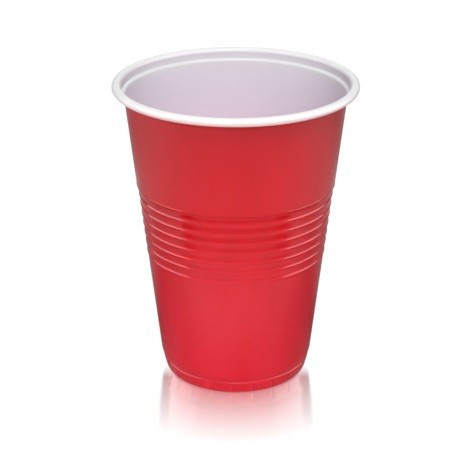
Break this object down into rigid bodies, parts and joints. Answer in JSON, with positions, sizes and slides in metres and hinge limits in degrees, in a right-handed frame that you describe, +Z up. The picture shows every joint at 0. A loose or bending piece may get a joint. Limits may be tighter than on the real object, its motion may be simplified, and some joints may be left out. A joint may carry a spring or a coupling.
{
  "type": "plastic party cup",
  "caption": "Tapered thin-walled plastic drinking cup with a rolled rim, grip flutes round the middle and a notched foot ring.",
  "frame": {"origin": "middle of the cup's foot ring, at the height of the surface it stands on", "axes": "+Z up along the cup's axis, out of its mouth; +X and +Y are level"},
  "size_m": [0.095, 0.095, 0.121],
  "materials": {
    "cup_plastic": "smooth formed plastic, soft gloss, red outside and white inside and over the rolled rim"
  },
  "bodies": {
    "root": {"cup": "cup_plastic"}
  },
  "joints": []
}
